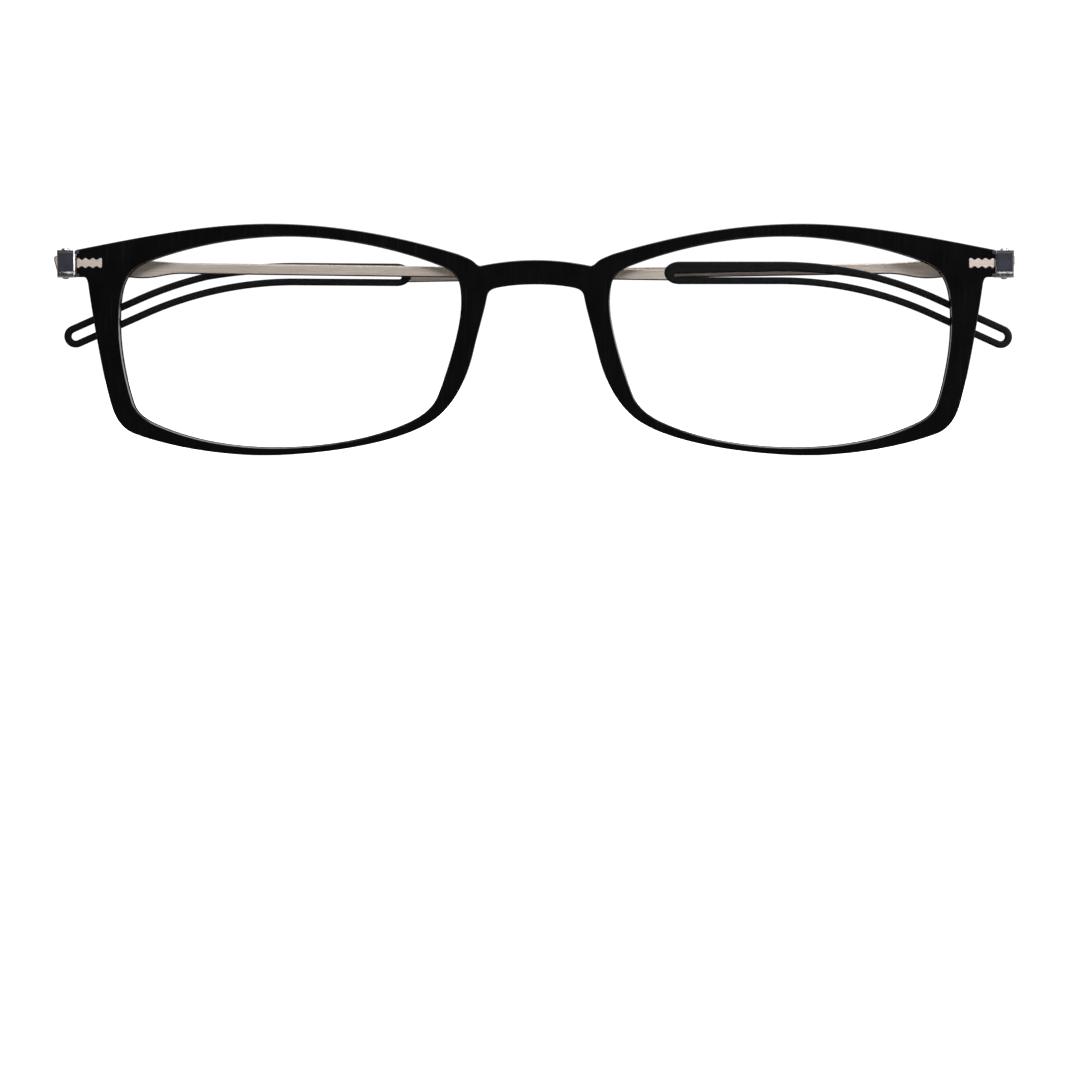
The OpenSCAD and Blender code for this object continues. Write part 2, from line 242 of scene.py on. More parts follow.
def tongue_outline():
    """The wavy tongue, clockwise from its inner end."""
    half = [(TONGUE_X[0], 0.63)]
    count = 14 * TOOTH_COUNT
    for i in range(count + 1):
        x = TOOTH_START - TOOTH_COUNT * TOOTH_PITCH * (1 - i / count)
        half.append((x, 0.6 + 0.14 * math.cos(2 * math.pi * (x - TOOTH_START) / TOOTH_PITCH)))
    half.append((TONGUE_X[1], 0.62))
    points = half + [(x, -z) for x, z in reversed(half)]
    return [(x, TONGUE_Z + z) for x, z in points]


def strip_outline(side):
    """The strip from its butt end past the hinge to the end inside the rubber."""
    fall = STRIP_FALL + DROOP[side] / (STRIP_END - STRIP_MIDDLE[0])
    end_u = STRIP_END + SLIDE[side]
    end_z = STRIP_MIDDLE[1] - fall * (end_u - STRIP_MIDDLE[0])
    end = [(end_u, end_z + STRIP_HALF), (end_u, end_z - STRIP_HALF)]
    return trace(STRIP_TOP) + end + trace(STRIP_UNDER)


def bend_point(radius, turn):
    """A point on the bend over the ear, radius from the bend's centre."""
    return (BEND_U + radius * math.sin(turn), LOOP_Z - BEND_RADIUS + radius * math.cos(turn))


def beside_band(rise):
    """A line beside the loop's middle line, from the bend's start to the tail's end."""
    height = rise if callable(rise) else lambda turn: rise
    turns = [BEND_ANGLE * i / 60 for i in range(61)]
    points = [bend_point(BEND_RADIUS + height(turn), turn) for turn in turns]
    u, z = points[-1]
    steps = [TAIL * i / 8 for i in range(1, 9)]
    return points + [(u + s * math.cos(BEND_ANGLE), z - s * math.sin(BEND_ANGLE)) for s in steps]


def band_end(radius):
    """The half circle round the tail's end, from its upper side to its lower one."""
    u, z = bend_point(BEND_RADIUS, BEND_ANGLE)
    middle = (u + TAIL * math.cos(BEND_ANGLE), z - TAIL * math.sin(BEND_ANGLE))
    start = math.pi / 2 - BEND_ANGLE
    return arc(middle, radius, start, start - math.pi, 24)[1:-1]


def slot_rise(turn):
    """Height of the slot's upper edge above the loop's middle line."""
    grown_by = (SLOT_HALF - SLOT_BEND_TOP) * (turn / SLOT_FULL_TURN) ** 2
    return min(SLOT_HALF, SLOT_BEND_TOP + grown_by)


def loop_outline():
    """The loop's outer edge, clockwise from its nose."""
    top = trace([[(NOSE_U, 26.6), (NOSE_U, 27.15), (87.5, 28.1)], [(FULL_U, LOOP_Z + LOOP_HALF)]])
    under = [(u, 2 * LOOP_Z - z) for u, z in reversed(top)]
    sides = [beside_band(LOOP_HALF), beside_band(-LOOP_HALF)[::-1]]
    return top + sides[0] + band_end(LOOP_HALF) + sides[1] + under


def slot_outline():
    """The slot, anticlockwise, with a round start and a round end."""
    low = LOOP_Z - SLOT_HALF
    start = arc((SLOT_U, low + SLOT_START_HALF), SLOT_START_HALF, -math.pi / 2, -1.5 * math.pi, 10)
    points = start + beside_band(slot_rise) + band_end(SLOT_HALF) + beside_band(-SLOT_HALF)[::-1]
    return points[::-1]


def fitted(points, side):
    """A loop slid along its strip and turned about its tail so that its nose meets the strip."""
    pivot_u, pivot_z = DROOP_PIVOT
    turn = math.atan(DROOP[side] / (pivot_u - FULL_U))
    c, s = math.cos(turn), math.sin(turn)
    shifted = [(u - pivot_u, z - pivot_z) for u, z in points]
    pivot_u += SLIDE[side]
    return [(pivot_u + c * u - s * z, pivot_z + s * u + c * z) for u, z in shifted]


def from_screw(points, side):
    """Turns distances from the hinge screw into X on one side of the glasses."""
    return [(SIDES[side] * (PIN_X - u), z) for u, z in points]


# ---- Mesh building ----


def winding(points):
    """Positive for a clockwise loop."""
    p = np.array(points)
    q = np.roll(p, -1, 0)
    return ((q[:, 0] - p[:, 0]) * (q[:, 1] + p[:, 1])).sum()


def clockwise(points):
    """The same loop wound clockwise."""
    return list(points) if winding(points) > 0 else list(points)[::-1]


def anticlockwise(points):
    """The same loop wound anticlockwise."""
    return clockwise(points)[::-1]


def grown(points, distance):
    """A clockwise loop moved outwards, or an anticlockwise one inwards."""
    p = np.array(points, float)
    ahead = np.roll(p, -1, 0) - p
    ahead /= np.linalg.norm(ahead, axis=1)[:, None]
    normal = np.stack([-ahead[:, 1], ahead[:, 0]], 1)
    before = np.roll(normal, 1, 0)
    scale = np.maximum(1 + (normal * before).sum(1), 0.4)
    return p + distance * (normal + before) / scale[:, None]


def inside(points, loops):
    """Which points lie inside an odd number of loops."""
    x, y = np.array(points, float).T
    odd = np.zeros(len(x), bool)
    for loop in loops:
        for (x0, y0), (x1, y1) in zip(loop, np.roll(loop, -1, 0)):
            if y0 != y1:
                crosses = (y0 > y) != (y1 > y)
                odd ^= crosses & (x < (x1 - x0) * (y - y0) / (y1 - y0) + x0)
    return odd


def cap_faces(verts, rings, extra, depth):
    """Triangles that fill the space between rings, through extra points added to verts."""
    index = [i for ring in rings for i in ring]
    loops = [np.array([verts[i][:2] for i in ring]) for ring in rings]
    for u, v in extra:
        index.append(len(verts))
        verts.append((u, v, depth))
    edges = []
    start = 0
    for ring in rings:
        n = len(ring)
        edges += [(start + i, start + (i + 1) % n) for i in range(n)]
        start += n
    flat = [Vector(verts[i][:2]) for i in index]
    out, _, triangles, sources, _, _ = delaunay_2d_cdt(flat, edges, [], 0, 1e-7)
    middles = [sum((out[i] for i in t), Vector((0, 0))) / 3 for t in triangles]
    keep = inside(middles, loops)
    faces = []
    for triangle, wanted in zip(triangles, keep):
        a, b, c = (out[i] for i in triangle)
        if wanted and abs((b - a).cross(c - a)) > SLIVER:
            faces.append(tuple(index[sources[i][0]] for i in triangle))
    return faces


def plate(name, loops, extra=(), flat="XZ"):
    """A closed solid between two flat caps.

    loops is a list of (points, profile): the outline clockwise, holes anticlockwise.
    A profile's rows are (inset into the material, depth), from the first cap to the last.
    extra holds more points for the last cap. flat is the plane of the caps, XZ or XY.
    """
    verts, faces, first, last = [], [], [], []
    for points, profile in loops:
        rings = []
        for inset, depth in profile:
            start = len(verts)
            verts += [(u, v, depth) for u, v in grown(points, -inset)]
            rings.append(range(start, len(verts)))
        n = len(points)
        for a, b in zip(rings, rings[1:]):
            faces += [(a[i], a[(i + 1) % n], b[(i + 1) % n], b[i]) for i in range(n)]
        first.append(rings[0])
        last.append(rings[-1])
    faces += cap_faces(verts, first, (), 0)
    faces += cap_faces(verts, last, extra, loops[0][1][-1][1])
    if flat == "XZ":
        verts = [(u, w, v) for u, v, w in verts]
    return new_object(name, verts, faces)


def rounded(low, high, r_low, r_high, steps=5, guard=0.04):
    """Profile of a wall with rounded edges, and a narrow flat ring inside each edge."""
    turns = [math.pi / 2 * i / steps for i in range(steps + 1)]
    rows = [(r_low + guard, low)]
    rows += [(r_low * (1 - math.sin(t)), low + r_low * (1 - math.cos(t))) for t in turns]
    rows += [(r_high * (1 - math.cos(t)), high - r_high * (1 - math.sin(t))) for t in turns]
    rows += [(r_high + guard, high)]
    return rows


def new_object(name, verts, faces):
    """A mesh object in the scene."""
    mesh = bpy.data.meshes.new(name)
    mesh.from_pydata([tuple(map(float, v)) for v in verts], [], faces)
    mesh.validate()
    tidy_normals(mesh)
    obj = bpy.data.objects.new(name, mesh)
    bpy.context.scene.collection.objects.link(obj)
    return obj


def tidy_normals(mesh):
    """Turns all faces outwards."""
    work = bmesh.new()
    work.from_mesh(mesh)
    bmesh.ops.recalc_face_normals(work, faces=work.faces)
    work.to_mesh(mesh)
    work.free()


def baked(obj):
    """Applies an object's modifiers to its mesh."""
    graph = bpy.context.evaluated_depsgraph_get()
    mesh = bpy.data.meshes.new_from_object(obj.evaluated_get(graph))
    obj.modifiers.clear()
    obj.data = mesh
    return obj


def cut(obj, tool, operation="DIFFERENCE"):
    """One exact boolean with a tool that is thrown away."""
    modifier = obj.modifiers.new("cut", "BOOLEAN")
    modifier.operation = operation
    modifier.solver = "EXACT"
    modifier.object = tool
    baked(obj)
    bpy.data.objects.remove(tool)
    return obj


def soften(obj, width):
    """Rounds the sharp edges of a finished solid."""
    modifier = obj.modifiers.new("soften", "BEVEL")
    modifier.width = width
    modifier.segments = 3
    modifier.limit_method = "ANGLE"
    modifier.angle_limit = math.radians(32)
    modifier.use_clamp_overlap = True
    return baked(obj)


def joined(obj, *others):
    """Adds the meshes of other objects to one object."""
    work = bmesh.new()
    for o in (obj, *others):
        work.from_mesh(o.data)
    work.to_mesh(obj.data)
    work.free()
    for o in others:
        bpy.data.objects.remove(o)
    return obj


def prism(points, low, high, flat="XZ"):
    """A plain sharp-edged slab, used as a tool or as a blank."""
    return plate("blank", [(clockwise(points), [(0, low), (0, high)])], flat=flat)


def rectangle(low, high):
    """Corners of a plain rectangle, clockwise."""
    return [(low[0], low[1]), (low[0], high[1]), (high[0], high[1]), (high[0], low[1])]


def revolve(name, profile, centre):
    """A lathe shape about Z. Rows are (radius, z), and a radius of 0 closes an end."""
    segments = 48
    verts, faces, rings = [], [], []
    for r, z in profile:
        if r == 0:
            rings.append([len(verts)] * segments)
            verts.append((centre[0], centre[1], z))
            continue
        rings.append(list(range(len(verts), len(verts) + segments)))
        for i in range(segments):
            t = 2 * math.pi * i / segments
            verts.append((centre[0] + r * math.cos(t), centre[1] + r * math.sin(t), z))
    closed = profile[0][0] != 0
    pairs = list(zip(rings, rings[1:])) + ([(rings[-1], rings[0])] if closed else [])
    for a, b in pairs:
        for i in range(segments):
            j = (i + 1) % segments
            corners = list(dict.fromkeys((a[i], a[j], b[j], b[i])))
            faces.append(tuple(corners))
    return new_object(name, verts, faces)


def settle(obj, name, body, node, material, sharp=40):
    """Turns a finished shape into a piece that stands for a CAD node and rides on its body."""
    obj.name = name
    mesh = obj.data
    mesh.transform(Matrix.Scale(MM, 4))
    tidy_normals(mesh)
    mesh.shade_smooth()
    mesh.set_sharp_from_angle(angle=math.radians(sharp))
    mesh.materials.clear()
    mesh.materials.append(material)
    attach(obj, body)
    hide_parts(node)


# ---- Materials ----


class Shader:
    """A node material that starts with one Principled surface."""

    def __init__(self, name, **values):
        self.material = bpy.data.materials.new(name)
        self.material.use_nodes = True
        self.tree = self.material.node_tree
        self.surface = self.tree.nodes["Principled BSDF"]
        self.output = self.tree.nodes["Material Output"]
        self.place = self.add("TexCoord").outputs["Object"]
        self.set(self.surface, values)

    def add(self, kind, inputs=None, **settings):
        """A new node with its settings and inputs."""
        node = self.tree.nodes.new("ShaderNode" + kind)
        for key, value in settings.items():
            setattr(node, key, value)
        self.set(node, inputs or {})
        return node

    def set(self, node, inputs):
        """Links or sets a node's inputs. A colour may leave out its alpha."""
        for key, value in inputs.items():
            socket = node.inputs[key]
            if isinstance(value, bpy.types.NodeSocket):
                self.tree.links.new(value, socket)
            elif socket.type == "RGBA":
                socket.default_value = (*value[:3], 1)
            else:
                socket.default_value = value

    def noise(self, scale, stretch=(1, 1, 1), detail=4, rough=0.6):
        """Noise with its scale in features per metre, stretched along each axis."""
        mapping = self.add("Mapping", {"Vector": self.place, "Scale": stretch})
        inputs = {"Vector": mapping.outputs[0], "Scale": scale, "Detail": detail, "Roughness": rough}
        return self.add("TexNoise", inputs).outputs["Fac"]

    def ramp(self, value, low, high, to_low=0.0, to_high=1.0):
        """Maps low..high to a new range and clamps it."""
        inputs = {"Value": value, "From Min": low, "From Max": high, "To Min": to_low, "To Max": to_high}
        return self.add("MapRange", inputs).outputs["Result"]

    def blend(self, amount, a, b):
        """A colour between a and b."""
        return self.add("Mix", {0: amount, 6: a, 7: b}, data_type="RGBA").outputs[2]

    def math(self, operation, a, b=0.0):
        """One sum on numbers."""
        return self.add("Math", {0: a, 1: b}, operation=operation).outputs[0]

    def outward(self, axis):
        """How far the surface faces along one world axis."""
        normal = self.add("NewGeometry").outputs["Normal"]
        return self.add("SeparateXYZ", {0: normal}).outputs[axis]

    def bump(self, height, distance, strength=1.0, normal=None):
        """Adds relief of a height in metres."""
        node = self.add("Bump", {"Height": height, "Distance": distance, "Strength": strength})
        if normal is not None:
            self.set(node, {"Normal": normal})
        return node.outputs["Normal"]

    def edge(self, radius, low, high):
        """A mask that is 1 along edges sharper than the rest of the surface."""
        soft = self.add("Bevel", {"Radius": radius}, samples=6).outputs["Normal"]
        hard = self.add("NewGeometry").outputs["Normal"]
        dot = self.add("VectorMath", {0: soft, 1: hard}, operation="DOT_PRODUCT")
        return self.ramp(dot.outputs["Value"], high, low)


def satin_plastic():
    """Near-black moulded plastic with faint upright draw lines and polished edges."""
    s = Shader("front_satin_black")
    lines = s.noise(3200, (1, 1, 0.035), detail=3)
    cloud = s.noise(260, detail=3)
    grain = s.noise(9000, detail=2)
    streak = s.ramp(lines, 0.56, 0.74)
    rubbed = s.math("MULTIPLY", s.edge(0.00022, 0.86, 0.985), s.ramp(cloud, 0.35, 0.6))
    tone = s.blend(streak, (0.0009, 0.0005, 0.0008), (0.0075, 0.006, 0.0068))
    tone = s.blend(s.math("MULTIPLY", rubbed, 0.3), tone, (0.02, 0.0195, 0.02))
    # Walls and chamfers are glossier than the flat front and back
    turned = s.ramp(s.math("ABSOLUTE", s.outward("Y")), 0.97, 0.8)
    shine = s.math("ADD", s.math("MULTIPLY", rubbed, 0.5), s.math("MULTIPLY", turned, 0.3))
    shine = s.math("ADD", shine, 0.11)
    rough = s.math("ADD", s.ramp(cloud, 0.3, 0.7, 0.26, 0.34), s.math("MULTIPLY", lines, 0.06))
    rough = s.math("SUBTRACT", rough, s.math("MULTIPLY", turned, 0.12))
    normal = s.bump(lines, 0.000012, 0.5)
    normal = s.bump(grain, 0.000003, 0.6, normal)
    looks = {"Base Color": tone, "Roughness": rough, "Specular IOR Level": shine, "Normal": normal}
    s.set(s.surface, looks)
    return s.material


def lens_plastic():
    """Clear polished plastic with a faint bluish reflection, dark at the edge that sits in the rim."""
    s = Shader("lens_clear")
    coat_index = 1.3
    face = s.ramp(s.math("ABSOLUTE", s.outward("Y")), 0.8, 0.95)
    # Fresnel turns its index over on back faces, so it is given there the other way up
    behind = s.add("NewGeometry").outputs["Backfacing"]
    index = s.math("ADD", s.math("MULTIPLY", behind, 1 / coat_index - coat_index), coat_index)
    clear = s.blend(face, (0.04, 0.04, 0.045), (0.985, 0.99, 0.992))
    through = s.add("BsdfTransparent", {"Color": clear})
    smear = s.noise(140, detail=4)
    rough = s.ramp(smear, 0.35, 0.7, 0.01, 0.05)
    gloss = s.add("BsdfGlossy", {"Color": (0.86, 0.92, 1), "Roughness": rough})
    facing = s.add("Fresnel", {"IOR": index}).outputs[0]
    amount = s.math("MULTIPLY", s.math("MULTIPLY", facing, 0.7), face)
    mix = s.add("MixShader", {0: amount, 1: through.outputs[0], 2: gloss.outputs[0]})
    s.set(s.output, {"Surface": mix.outputs[0]})
    s.tree.nodes.remove(s.surface)
    return s.material


def brushed_steel(name, light, dark, base_rough):
    """Warm steel with fine brush lines along X and brighter rubbed edges, with painted shade on faces
    turned downwards and on faces turned upwards.
    """
    s = Shader(name, Metallic=1, Anisotropic=0.75)
    spaces = {"vector_type": "VECTOR", "convert_from": "OBJECT", "convert_to": "WORLD"}
    tangent = s.add("VectorTransform", {0: (0, 0, 1)}, **spaces).outputs[0]
    lines = s.noise(9000, (0.02, 1, 1), detail=3)
    broad = s.noise(900, (0.08, 1, 1), detail=3)
    cloud = s.noise(70, (1, 1, 4), detail=3)
    tone = s.blend(s.ramp(lines, 0.3, 0.7), dark, light)
    tone = s.blend(s.ramp(cloud, 0.35, 0.7, 0.0, 0.6), tone, dark)
    worn = s.math("MULTIPLY", s.edge(0.00012, 0.8, 0.98), s.ramp(broad, 0.3, 0.6))
    tone = s.blend(s.math("MULTIPLY", worn, 0.5), tone, (0.82, 0.79, 0.75))
    upward = s.outward("Z")
    # Painted shade: faces turned downwards are darkened almost to black.
    tone = s.blend(s.ramp(upward, -0.08, -0.25, 0, 0.97), tone, (0.025, 0.018, 0.016))
    # Painted shade: faces turned upwards are darkened, toning down the highlight they catch from above.
    tone = s.blend(s.ramp(upward, 0.2, 0.7, 0, 0.85), tone, (0.11, 0.09, 0.08))
    rough = s.ramp(broad, 0.3, 0.7, base_rough - 0.05, base_rough + 0.05)
    rough = s.math("ADD", rough, s.math("MULTIPLY", lines, 0.06))
    rough = s.math("SUBTRACT", rough, s.math("MULTIPLY", worn, 0.08))
    normal = s.bump(lines, 0.000006, 0.7)
    s.set(s.surface, {"Base Color": tone, "Roughness": rough, "Normal": normal, "Tangent": tangent})
    return s.material


def polished_steel(name, tone_light, tone_dark, base_rough):
    """Bright tumbled steel with fine random scratches."""
    s = Shader(name, Metallic=1)
    cloud = s.noise(1500, detail=4)
    scratch = s.noise(7000, (1, 1, 0.08), detail=2)
    pits = s.noise(12000, detail=2)
    tone = s.blend(s.ramp(cloud, 0.3, 0.7), tone_dark, tone_light)
    worn = s.edge(0.0001, 0.8, 0.98)
    tone = s.blend(s.math("MULTIPLY", worn, 0.5), tone, (0.86, 0.85, 0.83))
    rough = s.ramp(cloud, 0.3, 0.7, base_rough, base_rough + 0.12)
    rough = s.math("ADD", rough, s.ramp(scratch, 0.6, 0.8, 0, 0.12))
    normal = s.bump(scratch, 0.000004, 0.5)
    normal = s.bump(pits, 0.000003, 0.5, normal)
    s.set(s.surface, {"Base Color": tone, "Roughness": rough, "Normal": normal})
    return s.material


def slate_coating():
    """A dark bluish coating, slightly mottled, worn to steel on its edges."""
    s = Shader("plate_slate_coat", **{"Specular IOR Level": 0.5})
    cloud = s.noise(900, detail=4)
    fine = s.noise(8000, (1, 1, 0.2), detail=3)
    worn = s.math("MULTIPLY", s.edge(0.00012, 0.8, 0.98), s.ramp(fine, 0.35, 0.6))
    tone = s.blend(s.ramp(cloud, 0.3, 0.7), (0.013, 0.014, 0.026), (0.024, 0.026, 0.044))
    tone = s.blend(worn, tone, (0.3, 0.3, 0.31))
    rough = s.math("ADD", s.ramp(cloud, 0.3, 0.7, 0.36, 0.5), s.math("MULTIPLY", fine, 0.08))
    normal = s.bump(fine, 0.000004, 0.6)
    s.set(s.surface, {"Base Color": tone, "Roughness": rough, "Normal": normal, "Metallic": worn})
    return s.material


def matte_rubber():
    """Matte black rubber with a fine moulded grain and a little dust."""
    s = Shader("tip_matte_rubber", **{"Specular IOR Level": 0.16})
    cloud = s.noise(350, detail=3)
    grain = s.noise(7000, detail=3)
    dust = s.ramp(s.noise(5200, detail=1), 0.72, 0.8)
    tone = s.blend(s.ramp(cloud, 0.3, 0.7), (0.0022, 0.0022, 0.0025), (0.0045, 0.0044, 0.0047))
    tone = s.blend(s.math("MULTIPLY", dust, 0.5), tone, (0.03, 0.03, 0.031))
    rough = s.math("ADD", s.ramp(cloud, 0.3, 0.7, 0.55, 0.66), s.math("MULTIPLY", dust, 0.2))
    normal = s.bump(grain, 0.000006, 0.7)
    s.set(s.surface, {"Base Color": tone, "Roughness": rough, "Normal": normal})
    return s.material


def nylon():
    """Milky natural nylon."""
    s = Shader("washer_nylon", **{"Subsurface Weight": 0.2, "Subsurface Scale": 0.0002})
    cloud = s.noise(2500, detail=3)
    grain = s.noise(15000, detail=2)
    tone = s.blend(s.ramp(cloud, 0.3, 0.7), (0.62, 0.58, 0.47), (0.75, 0.72, 0.62))
    rough = s.ramp(cloud, 0.3, 0.7, 0.38, 0.5)
    s.set(s.surface, {"Base Color": tone, "Roughness": rough, "Normal": s.bump(grain, 0.000003, 0.6)})
    return s.material


def floor_white():
    """A plain pale studio floor that throws little light back onto the glasses."""
    s = Shader("floor_pale", Roughness=1, **{"Specular IOR Level": 0})
    seen = s.add("LightPath").outputs["Is Camera Ray"]
    tone = s.blend(seen, (0.2, 0.2, 0.2), (0.92, 0.92, 0.92))
    far = s.add("VectorMath", {0: s.place}, operation="LENGTH").outputs["Value"]
    glow = s.math("MULTIPLY", seen, s.ramp(far, 0.1, 0.3, 0.5, 1.0))
    s.set(s.surface, {"Base Color": tone, "Emission Color": (1, 1, 1), "Emission Strength": glow})
    return s.material


PLASTIC = satin_plastic()
LENS = lens_plastic()
CHAMPAGNE = brushed_steel("strip_champagne_steel", (0.78, 0.67, 0.59), (0.52, 0.44, 0.38), 0.38)
TONGUE = brushed_steel("tongue_champagne_steel", (0.82, 0.71, 0.65), (0.6, 0.51, 0.46), 0.44)
STEEL = polished_steel("hinge_bright_steel", (0.52, 0.51, 0.5), (0.25, 0.25, 0.26), 0.12)
SCREW = polished_steel("screw_steel", (0.6, 0.59, 0.57), (0.35, 0.35, 0.35), 0.14)
CORE = polished_steel("core_spring_steel", (0.36, 0.36, 0.38), (0.25, 0.25, 0.27), 0.35)
SLATE = slate_coating()
RUBBER = matte_rubber()
NYLON = nylon()


# ---- The front ----


def ridge(x, z):
    """Height of the moulded nose ridge behind the rim."""
    across = min(1, max(0, (RIDGE_REACH - abs(x)) / RIDGE_FADE))
    along = max(0, 1 - ((z - RIDGE_Z) / RIDGE_HALF) ** 2)
    return across * across * (3 - 2 * across) * along


def ridge_grid(loops):
    """Points half a millimetre apart where the ridge rises, clear of the walls."""
    grid = [(x / 2, z / 2) for x in range(-36, 37) for z in range(6, 52)]
    edges = [grown(points, -wall[-1][0] - 0.25) for points, wall in loops]
    return [point for point, keep in zip(grid, inside(grid, edges)) if keep]


def opening_profile(front, back):
    """The wall round a lens: a front chamfer, the lens's groove and a softened back edge."""
    groove = back - GROOVE_BACK
    return [
        (0.15, front),
        (0.11, front),
        (0, front + 0.1),
        (0, groove - GROOVE_HALF),
        (GROOVE_DEPTH, groove),
        (0, groove + GROOVE_HALF),
        (0, back - 0.12),
        (0.05, back - 0.04),
        (0.12, back),
        (0.16, back),
    ]


def make_front():
    """The moulded front, with its openings, nose ridge and pockets for the tongues."""
    low = node_box("front_frame")[0]
    back = low.y + FRONT_THICK
    opening = trace(OPENING_KNOTS, closed=True)
    opening_wall = opening_profile(low.y, back)
    loops = [(clockwise(front_outline()), rounded(low.y, back, 0.18, 0.3))]
    loops += [(anticlockwise(opening), opening_wall), (anticlockwise(mirrored(opening)), opening_wall)]
    front = plate("front", loops, extra=ridge_grid(loops))
    for vertex in front.data.vertices:
        if vertex.co.y > back - 0.2:
            vertex.co.y += ridge(vertex.co.x, vertex.co.z)
    pocket = grown(clockwise(tongue_outline()), PLAY)
    for side in SIDES.values():
        tool = prism([(side * x, z) for x, z in pocket], low.y - 1, low.y + POCKET_DEPTH)
        cut(front, tool)
    settle(front, "front_moulding", "front", "front_frame", PLASTIC)


def lens_rings(front, back):
    """Rings of (points, depth) over a lens, from the middle of its domed front to that of its back.

    A depth is the least Y of a ring, which the dome may push further back.
    """
    middle = np.array(LENS_MIDDLE)
    edge = grown(clockwise(trace(OPENING_KNOTS, closed=True)), -LENS_GAP)
    shares = [0.08, 0.25, 0.45, 0.65, 0.82, 0.93, 0.985]
    inner = [middle + (edge - middle) * share for share in shares]
    bevel = back - BEVEL_BACK
    rim = [
        (grown(edge, -0.06), front),
        (edge, front + 0.1),
        (edge, bevel - GROOVE_HALF),
        (grown(edge, BEVEL_DEPTH), bevel),
        (edge, bevel + GROOVE_HALF),
        (edge, back - 0.05),
        (grown(edge, -0.05), back),
    ]
    return [(points, front) for points in inner] + rim + [(points, back) for points in inner[::-1]]


def make_lens(side):
    """A lens with a domed front, a flat back and a bevel round its edge."""
    low, high = node_box(f"{side}_lens")
    verts, rings = [], []
    for points, depth in lens_rings(low.y, high.y):
        rings.append(range(len(verts), len(verts) + len(points)))
        for x, z in points:
            reach = math.dist((x, z), LENS_MIDDLE)
            dome = low.y + LENS_RADIUS - math.sqrt(LENS_RADIUS**2 - reach**2)
            verts.append((SIDES[side] * x, max(depth, dome), z))
    n = len(rings[0])
    faces = [tuple(rings[0]), tuple(rings[-1])]
    for a, b in zip(rings, rings[1:]):
        faces += [(a[i], a[(i + 1) % n], b[(i + 1) % n], b[i]) for i in range(n)]
    lens = new_object("lens", verts, faces)
    settle(lens, f"{side}_lens_clear", "front", f"{side}_lens", LENS, sharp=30)


# ---- Hinges ----


def block_blank(back, reach):
    """The block's side view as a slab: a front with a crease, and two ears round the hinge barrel."""
    z_low, z_high = BLOCK_Z
    profile = [
        (BLOCK_FRONT, z_low),
        (BLOCK_FRONT, CREASE_Z[0]),
        (BLOCK_FRONT + CREASE_DEPTH, CREASE_Z[1]),
        (BLOCK_FRONT, CREASE_Z[2]),
        (BLOCK_FRONT, z_high),
        (reach, z_high),
        (reach, z_high - EAR),
        (back, z_high - EAR),
        (back, z_low + EAR),
        (reach, z_low + EAR),
        (reach, z_low),
    ]
    block = prism(profile, *BLOCK_X)
    for vertex in block.data.vertices:
        y, x, z = vertex.co
        vertex.co = (x, y, z)
    tidy_normals(block.data)
    return block


def block_plan(back, pin_y):
    """The block from above: its nose edge steps back and slopes, and its ears end round the pin."""
    x_low, x_high = BLOCK_X
    plan = [
        (x_low, BLOCK_FRONT + 0.1),
        (x_low + 0.13, BLOCK_FRONT + 0.1),
        (x_low + 0.25, BLOCK_FRONT),
        (x_low + 0.25, BLOCK_FRONT - 0.1),
        (x_high, BLOCK_FRONT - 0.1),
        (x_high, back),
        (PIN_X + BARREL_R, back),
    ]
    plan += arc((PIN_X, pin_y), BARREL_R, 0, math.pi, 24)
    return plan + [(PIN_X - BARREL_R, back), (x_low, back)]


def pin_bore(pin_y):
    """The round hole for the hinge screw."""
    return arc((PIN_X, pin_y), BORE_R, 0, 2 * math.pi, 32)[:-1]


def make_block(side):
    """The hinge block, with its ears, its bore and the recess for its plate."""
    z_low, z_high = BLOCK_Z
    pin_y = PIN_Y[side]
    back = pin_y - STOP_GAP
    block = block_blank(back, pin_y + BARREL_R + 0.2)
    cut(block, prism(block_plan(back, pin_y), z_low - 1, z_high + 1, flat="XY"), "INTERSECT")
    plate_low, plate_high = node_box("left_hinge_plate")
    recess = rectangle((plate_low.x, plate_low.z), (plate_high.x, plate_high.z))
    cut(block, prism(grown(recess, PLAY), BLOCK_FRONT - 1, plate_high.y))
    cut(block, prism(pin_bore(pin_y), z_low - 1, z_high + 1, flat="XY"))
    soften(block, 0.07)
    flip(block, side)
    settle(block, f"{side}_hinge_block", "front", f"{side}_hinge_bracket", STEEL, sharp=30)


def make_claws(side):
    """The two small claws that hold the block to the front."""
    x_low = BLOCK_X[0]
    wall = rounded(BLOCK_FRONT, INLAY_FRONT, 0.06, 0.02, 3, 0.02)
    claws = []
    for z in (BLOCK_Z[0] + 0.05, BLOCK_Z[1] - EAR):
        shape = rounded_box((x_low - CLAW, z), (x_low + LAP, z + CLAW), 0.12)
        claws.append(plate("claw", [(shape, wall)]))
    claws = joined(*claws)
    flip(claws, side)
    settle(claws, f"{side}_hinge_claws", "front", f"{side}_hinge_bracket", SLATE, sharp=30)


def make_tongue(side):
    """The bracket's wavy champagne tongue, set into the front, and the neck to the block."""
    wall = rounded(INLAY_FRONT, INLAY_FRONT + TONGUE_THICK, 0.05, 0.02, 3, 0.02)
    tongue = plate("tongue", [(clockwise(tongue_outline()), wall)])
    x = BLOCK_X[0]
    neck = rounded_box((x - 0.3, TONGUE_Z - NECK_HALF), (x + LAP, TONGUE_Z + NECK_HALF), 0.05, 2)
    joined(tongue, plate("neck", [(neck, [(0, NECK_Y[0]), (0, NECK_Y[1])])]))
    flip(tongue, side)
    settle(tongue, f"{side}_hinge_tongue", "front", f"{side}_hinge_bracket", TONGUE, sharp=30)


def flip(obj, side):
    """Moves a shape drawn on the wearer's left to the right if needed."""
    if side == "right":
        obj.data.transform(Matrix.Scale(-1, 4, (1, 0, 0)))


